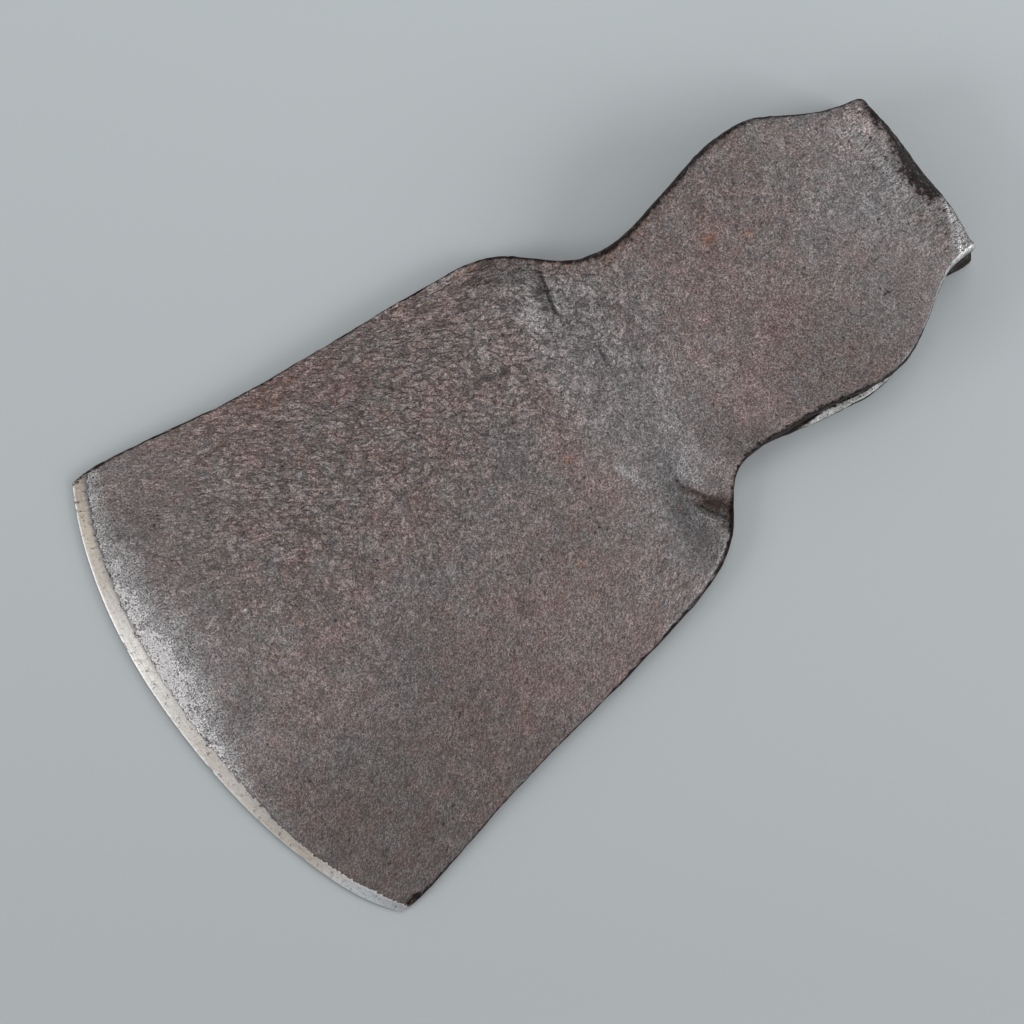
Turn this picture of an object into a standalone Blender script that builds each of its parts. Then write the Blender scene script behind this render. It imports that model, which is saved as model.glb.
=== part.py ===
"""Head of a hand-forged side axe, lying on its flat back.

X runs from the cutting edge towards the poll, Y across the blade and Z up from the flat back.
The design is drawn in millimetres, with stations along X counted from the two corners of the
cutting edge. The finished mesh is in metres, with its origin in the middle of its footprint.
"""

import math

import bmesh
import bpy
from mathutils import Vector

MM = 0.001

# ---- Cutting edge and bevel -------------------------------------------------------------------
EDGE_SAGITTA = 18.8  # how far the middle of the edge stands ahead of its corners
EDGE_LEFT = (2.27, 0.05)  # curve towards each corner: 2 is a plain arc, and the
EDGE_RIGHT = (2.17, 0.15)  # second number is how much of its drop comes at the corner itself
EDGE_CORNER = 12
EDGE_LAND = 0.3  # thickness left at the very edge
EDGE_LIFT = 1.1  # honing has rounded the flat back up by this much at the edge
EDGE_LIFT_REACH = 20.0
EDGE_STRAIGHTENS = 110.0  # station from which the cross-sections are straight
BEVEL_WIDTH = 4.4
BEVEL_RISE = 3.3  # height of the bevel's inner line above the flat back

# ---- Outline: (station, half-width) on the two flanks, joined by smooth curves -----------------
LEFT_FLANK = (
    (0.0, 77.7),  # corner of the cutting edge
    (7.0, 77.8),
    (22.0, 75.0),
    (50.0, 68.9),
    (80.0, 64.7),  # the blade draws in towards its shoulders
    (112.0, 60.8),
    (130.0, 57.7),  # shoulder
    (138.0, 53.6),
    (148.5, 43.4),
    (156.5, 38.6),
    (167.0, 37.3),  # neck
    (184.0, 39.9),
    (199.0, 42.6),  # ear
    (210.0, 42.3),
    (215.5, 40.9),
    (221.0, 37.1),
    (231.0, 31.5),
    (245.3, 27.2),  # corner of the poll
)
RIGHT_FLANK = (
    (0.0, 77.3),
    (7.0, 77.3),
    (22.0, 74.6),
    (50.0, 69.1),
    (80.0, 64.9),
    (112.0, 60.1),
    (128.0, 56.5),
    (138.0, 51.7),
    (143.5, 46.9),
    (148.5, 39.3),
    (154.0, 34.9),
    (160.0, 34.2),
    (173.0, 35.2),
    (187.0, 37.3),
    (200.0, 40.0),
    (210.0, 39.2),
    (224.0, 31.6),
    (233.0, 27.3),
    (245.3, 26.6),
)

# ---- Thickness of the head: (station, height of the top face above the flat back) --------------
THICKNESS = (
    (BEVEL_WIDTH, BEVEL_RISE),
    (24.0, 4.9),
    (60.0, 6.5),
    (100.0, 8.0),
    (130.0, 8.7),
    (141.0, 8.4),  # foot of the slope that climbs to the eye
    (149.0, 10.8),
    (160.0, 17.9),
    (172.0, 24.6),
    (185.0, 28.9),
    (200.0, 31.5),
    (214.0, 32.4),  # thickest, over the widest part of the eye
    (230.0, 31.4),
    (245.3, 28.6),
)
BLADE_CROWN = 0.5  # how much lower the top face is at its sides than in its middle
EYE_CROWN = 1.6
BLADE_ROUND = 1.2  # radius of the worn edge between the top face and the flanks
EYE_ROUND = 3.2
BACK_ROUND = 0.8  # radius of the edge between the flanks and the flat back

# ---- Hammered dents where the neck leaves the blade: centre, half-sizes and depth --------------
DENTS = (
    ((141.0, 38.5), (4.6, 12.0), 2.6),
    ((141.5, -39.0), (4.8, 11.0), 3.0),
)

# ---- Lower cheek, which stands out past the upper one on the right flank -----------------------
LIPS = (  # from station, to station, how far it stands out
    (167.0, 208.0, 2.9),
    (233.5, 256.0, 2.6),
)
LIP_TOP = 4.0
LIP_FOOT = 6.5  # height at which it runs out into the flank

# ---- Poll: end face, bowed outwards, with the top edge beaten over in a crescent ---------------
POLL_STATION = 245.3
POLL_LEAN = (1.7, 1.8)  # how far the left and the right corner sit back from the middle
POLL_BLEND = 30.0
POLL_EDGE = 0.9  # chamfer round the end face
CRESCENT_START, CRESCENT_STOP = 24.5, -10.5  # from the left corner to past the middle
CRESCENT_SKEW = 1.8  # it widens slowly from the corner and ends quickly
CRESCENT_WIDTH = 6.0
CRESCENT_DROP = 8.0

# ---- Eye for the handle: three rounds along its middle line, wrapped by one tight outline ------
CHEEK = 4.8  # thickness of the lower cheek, whose inner side is flat
EYE_ROUNDS = ((179.0, 4.2), (199.0, 9.4), (218.5, 11.0))  # station and radius
EYE_SIDES = 28
EYE_REACH = 60.0  # the cutter runs this far out past both flanks

# ---- Mesh ---------------------------------------------------------------------------------------
COLUMNS = 28  # strips across the top face
ZONES = (  # from station, to station, number of strips along the head
    (0.0, BEVEL_WIDTH, 1),
    (BEVEL_WIDTH, 10.0, 1),
    (10.0, 124.0, 19),
    (124.0, 172.0, 13),
    (172.0, 232.0, 10),
    (232.0, 242.4, 4),
    (242.4, POLL_STATION - POLL_EDGE, 1),
)


def smoothstep(value):
    """0 below 0, 1 above 1, and an S-curve between them."""
    value = min(1.0, max(0.0, value))
    return value * value * (3.0 - 2.0 * value)


def smooth_curve(points, at):
    """Height at one place of the smooth curve through points, a cubic between each two of them."""
    last = len(points) - 1
    slopes = []
    for i in range(last + 1):
        before, after = points[max(i - 1, 0)], points[min(i + 1, last)]
        slopes.append((after[1] - before[1]) / (after[0] - before[0]))
    i = 0
    while i < last - 1 and at > points[i + 1][0]:
        i += 1
    (x0, y0), (x1, y1) = points[i], points[i + 1]
    span = x1 - x0
    u = min(1.0, max(0.0, (at - x0) / span))
    return (
        y0 * (1 + 2 * u) * (1 - u) ** 2
        + y1 * (3 - 2 * u) * u * u
        + span * u * (1 - u) * (slopes[i] * (1 - u) - slopes[i + 1] * u)
    )


def in_eye_zone(station):
    """0 on the blade and 1 on the eye, changing over the neck."""
    return smoothstep((station - 135.0) / 45.0)


def back_height(station):
    """Height of the back, which is flat but for the honed strip behind the cutting edge."""
    return EDGE_LIFT * (1.0 - smoothstep(station / EDGE_LIFT_REACH))


def top_height(station):
    """Height of the top face on the middle line."""
    edge = EDGE_LIFT + EDGE_LAND
    if station <= BEVEL_WIDTH:
        return edge + (BEVEL_RISE - edge) * station / BEVEL_WIDTH
    return smooth_curve(THICKNESS, station)


def length_at(station, across):
    """Where a cross-section lies along X: across runs from -1, the right flank, to 1, the left."""
    power, corner = EDGE_LEFT if across > 0 else EDGE_RIGHT
    drop = (1.0 - corner) * abs(across) ** power + corner * abs(across) ** EDGE_CORNER
    edge = -EDGE_SAGITTA * (1.0 - drop)
    bow = 1.0 - smoothstep(station / EDGE_STRAIGHTENS)
    lean = POLL_LEAN[0] if across > 0 else POLL_LEAN[1]
    poll = smoothstep((station - POLL_STATION + POLL_BLEND) / POLL_BLEND)
    return station + bow * edge - poll * lean * across * across


def dent_depth(x, y):
    """How far the dents lower the top face."""
    depth = 0.0
    for (middle_x, middle_y), (half_x, half_y), deep in DENTS:
        away = ((x - middle_x) / half_x) ** 2 + ((y - middle_y) / half_y) ** 2
        depth += deep * math.exp(-away)
    return depth


def crescent_drop(x, y, across):
    """How far the beaten edge of the poll lowers the top face."""
    run = (CRESCENT_START - y) / (CRESCENT_START - CRESCENT_STOP)
    side = math.sin(math.pi * min(1.0, max(0.0, run)) ** CRESCENT_SKEW)
    end = length_at(POLL_STATION, across)
    return CRESCENT_DROP * side * smoothstep(1.0 - (end - x) / (CRESCENT_WIDTH * (0.3 + 0.7 * side)))


def lip(station):
    """How far the lower cheek stands out past the upper one on the right flank."""
    out = 0.0
    for start, stop, most in LIPS:
        along = (station - start) / (stop - start)
        if 0.0 < along < 1.0:
            out += most * math.sin(math.pi * along) ** 0.6
    return out


def cross_section(station, inset=0.0):
    """The closed ring of points at a station: left flank down, back, right flank up, top face.

    A positive inset draws the whole ring in by that much, for the chamfer round the poll's face.
    """
    low, high = back_height(station), top_height(station)
    thick = high - low
    eye = in_eye_zone(station)
    edge_round = min(BLADE_ROUND + (EYE_ROUND - BLADE_ROUND) * eye, 0.3 * thick)
    back_round = min(BACK_ROUND, 0.15 * thick)
    crown = min(BLADE_CROWN, 0.12 * thick) + (EYE_CROWN - BLADE_CROWN) * eye
    left = smooth_curve(LEFT_FLANK, station) - inset
    right = smooth_curve(RIGHT_FLANK, station) - inset
    lip_top, lip_foot = low + min(LIP_TOP, 0.3 * thick), low + min(LIP_FOOT, 0.45 * thick)

    def row(flank_left, flank_right, inner):
        """(across, y) of the points that a row between the two flanks has."""
        start, stop = inner - flank_right, flank_left - inner
        places = [i / COLUMNS for i in range(COLUMNS + 1)]
        return [(2 * place - 1, start + (stop - start) * place) for place in places]

    def flank(side, reach, low_reach):
        """Points down one flank, from the rounded top edge to the edge of the back."""
        top = high - crown - inset
        corner = edge_round * (1.0 - math.sqrt(0.5))
        x = length_at(station, side)
        drawn = (
            (reach - corner, top - corner),
            (reach, top - edge_round),
            (reach, lip_foot),
            (low_reach, lip_top),
            (low_reach, low + back_round + inset),
        )
        return [(x, side * out, z) for out, z in drawn]

    top_row = []
    for across, y in row(left, right, edge_round):
        x = length_at(station, across)
        z = high - inset - crown * across**2
        z -= dent_depth(x, y) + crescent_drop(x, y, across)
        top_row.append((x, y, z))
    reach_low = right + lip(station)
    back_row = [
        (length_at(station, across), y, low + inset) for across, y in row(left, reach_low, back_round)
    ]
    down_left = flank(1, left, left)
    up_right = flank(-1, right, reach_low)[::-1]
    return down_left, back_row[::-1], up_right, top_row


def build_head():
    """The solid head: a ring of points at each station, skinned lengthwise and closed at both ends."""
    stations = [0.0]
    for start, stop, count in ZONES:
        stations += [start + (stop - start) * (i + 1) / count for i in range(count)]
    rings = [cross_section(station) for station in stations]
    rings.append(cross_section(POLL_STATION, POLL_EDGE))

    bm = bmesh.new()
    made = [[[bm.verts.new(point) for point in run] for run in ring] for ring in rings]
    for near, far in zip(made, made[1:]):
        near_ring, far_ring = sum(near, []), sum(far, [])
        for i in range(len(near_ring)):
            j = (i + 1) % len(near_ring)
            bm.faces.new((near_ring[i], near_ring[j], far_ring[j], far_ring[i]))
    for ring in (made[0], made[-1]):
        down_left, back_row, up_right, top_row = ring
        back_row = back_row[::-1]
        for i in range(COLUMNS):
            bm.faces.new((top_row[i], top_row[i + 1], back_row[i + 1], back_row[i]))
        bm.faces.new([top_row[-1], *down_left, back_row[-1]])
        bm.faces.new([back_row[0], *up_right, top_row[0]])
    bmesh.ops.recalc_face_normals(bm, faces=bm.faces)
    return bm


def build_eye():
    """The space inside the eye, as a prism across the head: the hull of three cylinders."""
    bm = bmesh.new()
    for station, radius in EYE_ROUNDS:
        for side in (-1, 1):
            for i in range(EYE_SIDES):
                turn = math.tau * (i + 0.5) / EYE_SIDES
                flat = radius * math.cos(math.pi / EYE_SIDES)
                x = station + radius * math.cos(turn)
                z = CHEEK + flat + radius * math.sin(turn)
                bm.verts.new((x, side * EYE_REACH, z))
    hull = bmesh.ops.convex_hull(bm, input=bm.verts)
    spare = {v for v in hull["geom_interior"] + hull["geom_unused"] if isinstance(v, bmesh.types.BMVert)}
    bmesh.ops.delete(bm, geom=list(spare), context="VERTS")
    bmesh.ops.recalc_face_normals(bm, faces=bm.faces)
    return bm


def footprint_middle(bm):
    """The middle of the mesh's extent along X and along Y, at the height of the flat back."""
    spans = [[vert.co[axis] for vert in bm.verts] for axis in (0, 1)]
    return Vector([(min(span) + max(span)) / 2 for span in spans] + [0.0])


def add_object(name, bm, origin):
    """Makes an object of a mesh drawn in millimetres, in metres and with its origin at the point given."""
    for vert in bm.verts:
        vert.co = (vert.co - origin) * MM
    mesh = bpy.data.meshes.new(name)
    bm.to_mesh(mesh)
    bm.free()
    obj = bpy.data.objects.new(name, mesh)
    bpy.context.scene.collection.objects.link(obj)
    return obj


def forged_iron():
    """Dark, dry, slightly rusty patina on forged iron."""
    material = bpy.data.materials.new("forged_iron")
    material.use_nodes = True
    shader = material.node_tree.nodes["Principled BSDF"]
    shader.inputs["Base Color"].default_value = (0.13, 0.115, 0.11, 1.0)
    shader.inputs["Metallic"].default_value = 0.7
    shader.inputs["Roughness"].default_value = 0.55
    return material


def main():
    for obj in list(bpy.data.objects):
        bpy.data.objects.remove(obj)

    solid = build_head()
    origin = footprint_middle(solid)
    head = add_object("axe_head", solid, origin)
    head.data.materials.append(forged_iron())

    eye = add_object("eye_cutter", build_eye(), origin)
    eye.hide_render = True
    eye.display_type = "WIRE"

    cut = head.modifiers.new("eye", "BOOLEAN")
    cut.operation = "DIFFERENCE"
    cut.solver = "EXACT"
    cut.object = eye

    head.data.shade_smooth()
    head.data.set_sharp_from_angle(angle=math.radians(35))


main()
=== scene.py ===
# %% [markdown]
# # A forged side axe head
#
# The object is the iron head of a side axe, a hewing tool with one flat face and one bevelled
# face. It lies on its flat back without a handle. We first load the construction model, which
# fixes every size and place, and keep its box.

# %% Load the frame
import bpy
import math
import numpy as np
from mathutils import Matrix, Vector, geometry, noise


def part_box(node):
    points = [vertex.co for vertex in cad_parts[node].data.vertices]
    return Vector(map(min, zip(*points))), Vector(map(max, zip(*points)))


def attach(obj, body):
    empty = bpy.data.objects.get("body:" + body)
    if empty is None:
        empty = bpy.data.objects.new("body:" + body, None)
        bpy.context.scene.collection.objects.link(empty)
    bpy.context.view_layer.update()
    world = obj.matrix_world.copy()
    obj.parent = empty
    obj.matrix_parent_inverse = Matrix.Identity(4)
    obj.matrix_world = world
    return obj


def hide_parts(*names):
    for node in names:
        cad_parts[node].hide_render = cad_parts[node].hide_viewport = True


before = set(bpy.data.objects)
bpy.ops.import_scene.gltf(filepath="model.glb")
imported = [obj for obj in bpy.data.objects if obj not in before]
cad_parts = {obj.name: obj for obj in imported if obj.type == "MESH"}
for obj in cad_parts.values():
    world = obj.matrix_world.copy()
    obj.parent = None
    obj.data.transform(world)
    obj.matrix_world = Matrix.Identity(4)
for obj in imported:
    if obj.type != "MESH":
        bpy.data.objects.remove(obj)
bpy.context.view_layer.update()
MM = 0.001
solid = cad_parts["axe_head"]
low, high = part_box("axe_head")
length = high.x - low.x
print("head", [round(side / MM, 1) for side in high - low], "mm")

# %% [markdown]
# ## Camera
#
# The camera hangs a metre above the table and looks straight down, turned so that the edge
# points to the lower left. A long lens keeps the perspective weak, as a catalogue picture has
# it: the eye, which stands 32 mm proud of the table, looks only about 3% bigger than the blade.

# %% Camera above the blade
VIEW_HEIGHT = 1.0  # metres above the table
VIEW_WIDTH = 0.2938  # metres of the table that the camera sees
VIEW_TURN = -37.55  # degrees
VIEW_ALONG = 0.4305  # of the length, from the edge towards the poll
VIEW_ASIDE = -0.0059  # metres, a little to the right of the middle line

camera_data = bpy.data.cameras.new("camera")
camera = bpy.data.objects.new("camera", camera_data)
bpy.context.scene.collection.objects.link(camera)
camera_data.lens = camera_data.sensor_width * VIEW_HEIGHT / VIEW_WIDTH
camera.location = (low.x + VIEW_ALONG * length, VIEW_ASIDE, VIEW_HEIGHT)
camera.rotation_euler = (0.0, 0.0, math.radians(VIEW_TURN))
bpy.context.scene.camera = camera
print("lens", round(camera_data.lens, 1), "mm")

# %% [markdown]
# ## The forging
#
# The construction solid has the right shape but flat facets. We copy its mesh, join its loose
# triangles, and turn them back into the grid of four-sided faces that it was drawn with. That
# grid is a cage for a Subdivision Surface, which rounds the facets away. We could also model
# the head anew from a cube, but then its outline would have to be matched to the solid's.

# %% Copy the solid as a cage
SAME_PLACE = 0.001 * MM
MOST_BENT = math.radians(40)  # two triangles that bend more than this stay apart
MOST_SKEWED = math.radians(120)


def make_active(piece):
    """Selects one piece alone, so that the operators act on nothing else."""
    bpy.ops.object.select_all(action="DESELECT")
    piece.select_set(True)
    bpy.context.view_layer.objects.active = piece


head = bpy.data.objects.new("forged_head", solid.data.copy())
bpy.context.scene.collection.objects.link(head)
head.data.materials.clear()
make_active(head)
bpy.ops.object.mode_set(mode="EDIT")
bpy.ops.mesh.select_all(action="SELECT")
bpy.ops.mesh.customdata_custom_splitnormals_clear()
bpy.ops.mesh.remove_doubles(threshold=SAME_PLACE)
bpy.ops.mesh.tris_convert_to_quads(face_threshold=MOST_BENT, shape_threshold=MOST_SKEWED)
bpy.ops.object.mode_set(mode="OBJECT")
print("cage", len(head.data.vertices), "corners", len(head.data.polygons), "faces")

# %% [markdown]
# ## Measuring from the cutting edge
#
# The grinding, the wear and the forge marks all follow the curved cutting edge, so we need to
# know how far each point lies behind it. Seen from above, the edge is the convex front of the
# outline, and Blender's convex hull picks out its corners for us. Everything below is said in
# millimetres: `along` the head from the foremost point of the edge, and `across` it to the left.

# %% Find the cutting edge
def coordinates(mesh):
    """The places of all points of a mesh, one row each."""
    places = np.empty(len(mesh.vertices) * 3, np.float32)
    mesh.vertices.foreach_get("co", places)
    return places.reshape(-1, 3).astype(float)


EDGE_BOW = 19.5  # the corners of the edge lie this far or a little less behind its middle
corners = coordinates(head.data)
hull = corners[geometry.convex_hull_2d([Vector(corner[:2]) for corner in corners])]
front = hull[hull[:, 0] < low.x + EDGE_BOW * MM]
front = front[np.argsort(front[:, 1])]
edge_across = front[:, 1] / MM
edge_along = (front[:, 0] - low.x) / MM
print("cutting edge", len(front), "points,", round(edge_across[-1] - edge_across[0], 1), "mm wide")


# %% Turn places into distances
def smooth_step(start, stop, value):
    """0 before start, 1 after stop, and an S-curve between them."""
    t = np.clip((value - start) / (stop - start), 0.0, 1.0)
    return t * t * (3.0 - 2.0 * t)


def measure(places):
    """Along, across, height and distance behind the cutting edge of each place, in mm."""
    along, across, height = ((places - (low.x, 0.0, 0.0)) / MM).T
    edge = np.interp(across, edge_across, edge_along)
    slant = np.interp(across, edge_across, np.gradient(edge_along, edge_across))
    behind = (along - edge) / np.sqrt(1.0 + slant**2)
    return along, across, height, behind


# %% [markdown]
# ## Sharp edges
#
# A Subdivision Surface rounds everything alike, but a smith leaves some edges sharp: the rims
# of the eye, the corners of the poll and the cutting edge itself. An edge crease of 1 keeps
# such an edge as it is, and needs no extra rows of faces as a bevel would.

# %% Crease the sharp edges
SHARP = math.radians(60)  # edges that turn more than this stay sharp
bpy.ops.object.mode_set(mode="EDIT")
bpy.ops.mesh.select_all(action="DESELECT")
bpy.ops.mesh.select_mode(type="EDGE")
bpy.ops.mesh.edges_select_sharp(sharpness=SHARP)
bpy.ops.transform.edge_crease(value=1.0)
bpy.ops.object.mode_set(mode="OBJECT")
print("creases_dirt_and_shade", sum(edge.select for edge in head.data.edges), "edges")

# %% [markdown]
# ## The bevel's inner line
#
# The ground bevel ends behind the edge in a line that bends too little to be found by its
# angle, so we pick its points by their place. Years of honing have softened the line, and its
# crease is therefore weaker than 1.

# %% Crease the bevel's inner line
BEVEL = 4.4  # mm that the bevel runs back from the edge, as on the construction model
BEVEL_TOP = 2.2  # mm: its inner line lies higher than this
BEVEL_NEAR = 0.5  # mm: a point this near to the line belongs to it
BEVEL_CREASE = 0.8


def choose_edges(mesh, chosen):
    """Selects the edges whose two ends are both chosen, and tells the ends of every edge."""
    for kind in (mesh.vertices, mesh.edges, mesh.polygons):
        kind.foreach_set("select", np.zeros(len(kind), bool))
    ends = np.empty(len(mesh.edges) * 2, np.int32)
    mesh.edges.foreach_get("vertices", ends)
    picked = chosen[ends.reshape(-1, 2)].all(axis=1)
    mesh.edges.foreach_set("select", picked)
    return ends.reshape(-1, 2), picked


along, across, height, behind = measure(corners)
back_from_edge = along - np.interp(across, edge_across, edge_along)
on_line = (abs(back_from_edge - BEVEL) < BEVEL_NEAR) & (height > BEVEL_TOP)
choose_edges(head.data, on_line)
bpy.ops.object.mode_set(mode="EDIT")
bpy.ops.transform.edge_crease(value=BEVEL_CREASE)
bpy.ops.object.mode_set(mode="OBJECT")
print("creases_dirt_and_shade", sum(edge.select for edge in head.data.edges), "edges of the bevel")

# %% [markdown]
# ## Rounding and refining
#
# Two levels of subdivision give cells of about 1.4 mm. The forge scale on the upper faces is
# finer than that, so we cut their longer edges once more. The flat back needs no more cells,
# which keeps the mesh well under 200,000 triangles; a third level of subdivision would not.

# %% Round the facets
def apply_modifier(piece, kind, **settings):
    """Adds a modifier to a piece, sets it up, and applies it at once."""
    modifier = piece.modifiers.new(kind.lower(), kind)
    for name, value in settings.items():
        setattr(modifier, name, value)
    make_active(piece)
    bpy.ops.object.modifier_apply(modifier=modifier.name)


apply_modifier(head, "SUBSURF", levels=2, render_levels=2)
print("rounded", len(head.data.polygons), "faces")


# %% Refine the upper faces
def vertex_normals(mesh):
    """The direction that the surface faces at every point, one row each."""
    normals = np.empty(len(mesh.vertices) * 3, np.float32)
    mesh.vertices.foreach_get("normal", normals)
    return normals.reshape(-1, 3).astype(float)


def refine_long_edges(piece, longest, where):
    """Cuts in two each edge that is longer than a length and has both ends in a place."""
    mesh = piece.data
    ends, picked = choose_edges(mesh, where)
    places = coordinates(mesh)
    span = np.linalg.norm(places[ends[:, 0]] - places[ends[:, 1]], axis=1)
    mesh.edges.foreach_set("select", picked & (span > longest))
    make_active(piece)
    bpy.ops.object.mode_set(mode="EDIT")
    bpy.ops.mesh.subdivide(number_cuts=1)
    bpy.ops.object.mode_set(mode="OBJECT")


LONGEST = 0.95 * MM
FACES_UP = 0.25  # a normal that rises more than this is on the upper side
refine_long_edges(head, LONGEST, vertex_normals(head.data)[:, 2] > FACES_UP)

# %% [markdown]
# ## Finer cells where they are needed
#
# Two folds in the shoulders of the blade are narrower than a cell, and so is the rubbed lip of
# the lower cheek, which shows past the upper one. We cut the cells in half again, but only
# there: cells as small as that all over would make more than half a million triangles.

# %% Refine the two shoulders for their folds
FOLD_LONGEST = 0.45 * MM
FOLD_PLACES = ((158.5, 37.0, 8.5), (159.0, -38.0, 11.0))  # (along, across, radius), in mm
along, across, height, behind = measure(coordinates(head.data))
for x, y, radius in FOLD_PLACES:
    nearby = np.hypot(along - x, across - y) < radius
    nearby &= vertex_normals(head.data)[:, 2] > FACES_UP
    refine_long_edges(head, FOLD_LONGEST, nearby)
    along, across, height, behind = measure(coordinates(head.data))
print("shoulders refined,", len(head.data.polygons), "faces")

# %% Refine the lower cheek
CHEEK_FROM, CHEEK_TO, CHEEK_RIGHT = 188.0, 228.0, -31.0  # along, along and across, in mm
CHEEK_TOP = 6.0  # mm: the lower cheek lies below this height
cheek = (along > CHEEK_FROM) & (along < CHEEK_TO) & (across < CHEEK_RIGHT) & (height < CHEEK_TOP)
refine_long_edges(head, FOLD_LONGEST, cheek & (vertex_normals(head.data)[:, 2] > FACES_UP))
head.data.calc_loop_triangles()
print("refined", len(head.data.polygons), "faces", len(head.data.loop_triangles), "triangles")

# %% [markdown]
# ## Hammer marks and forge scale
#
# Hot iron takes the print of the hammer: broad, shallow hollows. Its surface also burns to
# scale, which flakes off and leaves small pits. Both have no pattern that we could draw, so
# they come from Blender's cloud texture through Displace modifiers. The size of a cloud is in
# metres of the mesh, so real sizes can be set. Sculpting by hand would give the same marks with
# more work. A vertex group keeps them off the ground bevel and makes them weaker on the back.

# %% Where the marks go
BACK_SHARE = 0.35  # the back was ground flatter than the rest
FACES_DOWN = -0.8


def paint_group(piece, name, weights):
    """Gives a piece a vertex group with these weights."""
    group = piece.vertex_groups.new(name=name)
    for index in np.flatnonzero(weights > 0.001):
        group.add([int(index)], float(weights[index]), "REPLACE")


smooth_places = coordinates(head.data)
smooth_normals = vertex_normals(head.data)
along, across, height, behind = measure(smooth_places)
upward = smooth_normals[:, 2]
off_bevel = smooth_step(BEVEL, BEVEL + 2.5, behind)
rough_share = off_bevel * np.where(upward < FACES_DOWN, BACK_SHARE, 1.0)
broad_share = off_bevel * smooth_step(0.3, 0.9, upward)
paint_group(head, "scale", rough_share)
paint_group(head, "blows", broad_share)
print("marked", int((rough_share > 0).sum()), "points")


# %% Displace by clouds
def displace(piece, name, size, depth, group, detail=2):
    """Lifts and sinks the surface by a cloud texture; size and depth are in mm."""
    clouds = bpy.data.textures.new(name, "CLOUDS")
    clouds.noise_scale = size * MM
    clouds.noise_depth = detail
    apply_modifier(
        piece, "DISPLACE", texture=clouds, strength=depth * MM, mid_level=0.5,
        texture_coords="LOCAL", vertex_group=group,
    )
    bpy.data.textures.remove(clouds)


displace(head, "hammer_blows", 16.0, 0.8, "blows", detail=1)
displace(head, "scale_flakes", 5.0, 0.35, "scale", detail=1)
displace(head, "scale_pits", 1.5, 0.35, "scale", detail=2)
head.vertex_groups.clear()

# %% [markdown]
# ## Wrinkled skin
#
# The blade was spread like a fan under the hammer, and its skin of scale cracked into small
# pebbles with sharp creases between them. The rows of pebbles are bent like a bow that opens
# towards the poll. No ready texture follows a bow, so we bend the coordinates instead: along
# the head plus a share of the square of the place across it. The absolute value of a noise
# is a row of round tops that meet in sharp creases, just like the skin. It is deepest on the
# left half of the blade and at its shoulders.

# %% Wrinkle the skin
PEBBLE_WIDTH = 2.1  # mm
PEBBLE_LENGTH = 3.0  # mm
PEBBLE_DEPTH = 0.8  # mm
BIG_PEBBLE = 0.55  # a second noise makes pebbles that are larger by 1 over this,
BIG_SHARE = 0.6  # count this much,
BIG_SLICE = 7.0  # and come from another slice of it
FOLD_BEND = 0.0075  # per mm


def move_points(piece, moves):
    """Moves every point of a piece; the moves are in mm."""
    mesh = piece.data
    mesh.vertices.foreach_set("co", (coordinates(mesh) + moves * MM).astype(np.float32).ravel())
    mesh.update()


on_blade = 1.0 - smooth_step(110.0, 200.0, along)
bent = along + FOLD_BEND * on_blade * across**2
left_half = smooth_step(-30.0, 35.0, across) * smooth_step(0.0, 65.0, behind)
shoulders = np.exp(-(((along - 148.0) / 24.0) ** 2))
on_eye = smooth_step(160.0, 190.0, along)
left_shoulder = shoulders * smooth_step(15.0, 45.0, across)
skin_share = 0.30 + 0.58 * left_half + 0.05 * shoulders + 0.35 * left_shoulder
skin_share *= 1.0 - 0.45 * on_eye
skin_share *= off_bevel * smooth_step(0.3, 0.8, upward)
pebbles = np.array([
    abs(noise.noise((row, column, 0.0)))
    + BIG_SHARE * abs(noise.noise((row * BIG_PEBBLE, column * BIG_PEBBLE, BIG_SLICE)))
    for row, column in zip(bent / PEBBLE_WIDTH, across / PEBBLE_LENGTH)
])
pebbles -= pebbles.mean()
raised = PEBBLE_DEPTH * skin_share * pebbles
move_points(head, smooth_normals * raised[:, None])
print("creases down to", round(float(raised.min()), 2), "mm")

# %% [markdown]
# ## Cold shuts and creases
#
# Where the neck was drawn out of the thick bar, the smith's fuller drove folds into the
# shoulders of the blade. Each is a groove: a line of places with a width and a depth, and we
# push each point down by how near it lies to the line. A groove has two widths, one for the
# side towards the cutting edge and one for the side towards the poll, because the iron lapped
# over on one side: that wall is steep, and the other slopes gently.

# %% Press grooves into the top face
GROOVES = (  # (along, across, depth, width to the edge, width to the poll), all in mm
    ((162.5, 46.0, 0.5, 3.0, 1.2), (160.9, 42.5, 0.9, 3.6, 1.0), (159.9, 39.7, 1.5, 3.8, 0.7),
     (158.6, 35.7, 1.7, 3.6, 0.7), (158.2, 32.4, 1.2, 2.6, 0.8), (158.4, 29.4, 0.3, 1.6, 1.0)),
    ((163.0, 25.0, 0.1, 2.4, 2.4), (161.5, 22.3, 0.5, 2.4, 2.4), (160.8, 19.5, 0.1, 2.4, 2.4)),
    ((161.2, 18.6, 0.1, 0.6, 0.9), (161.0, 14.5, 0.4, 0.6, 0.9), (160.6, 9.0, 0.1, 0.6, 0.9)),
    ((154.8, -11.0, 0.1, 1.6, 1.8), (157.0, -18.7, 0.5, 1.6, 1.6), (157.0, -25.1, 0.8, 1.4, 1.4),
     (156.6, -30.0, 1.0, 1.2, 2.0), (158.6, -36.0, 0.9, 1.4, 2.4), (163.4, -40.6, 0.7, 2.0, 2.0)),
    ((155.6, -33.5, 0.3, 0.6, 1.4), (157.0, -36.8, 1.3, 0.6, 3.0), (159.2, -41.0, 2.0, 0.7, 4.2),
     (161.2, -45.0, 2.6, 0.8, 5.0), (162.0, -48.0, 2.6, 0.8, 5.0)),
)
STEPS = 60  # stamps along each line


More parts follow.
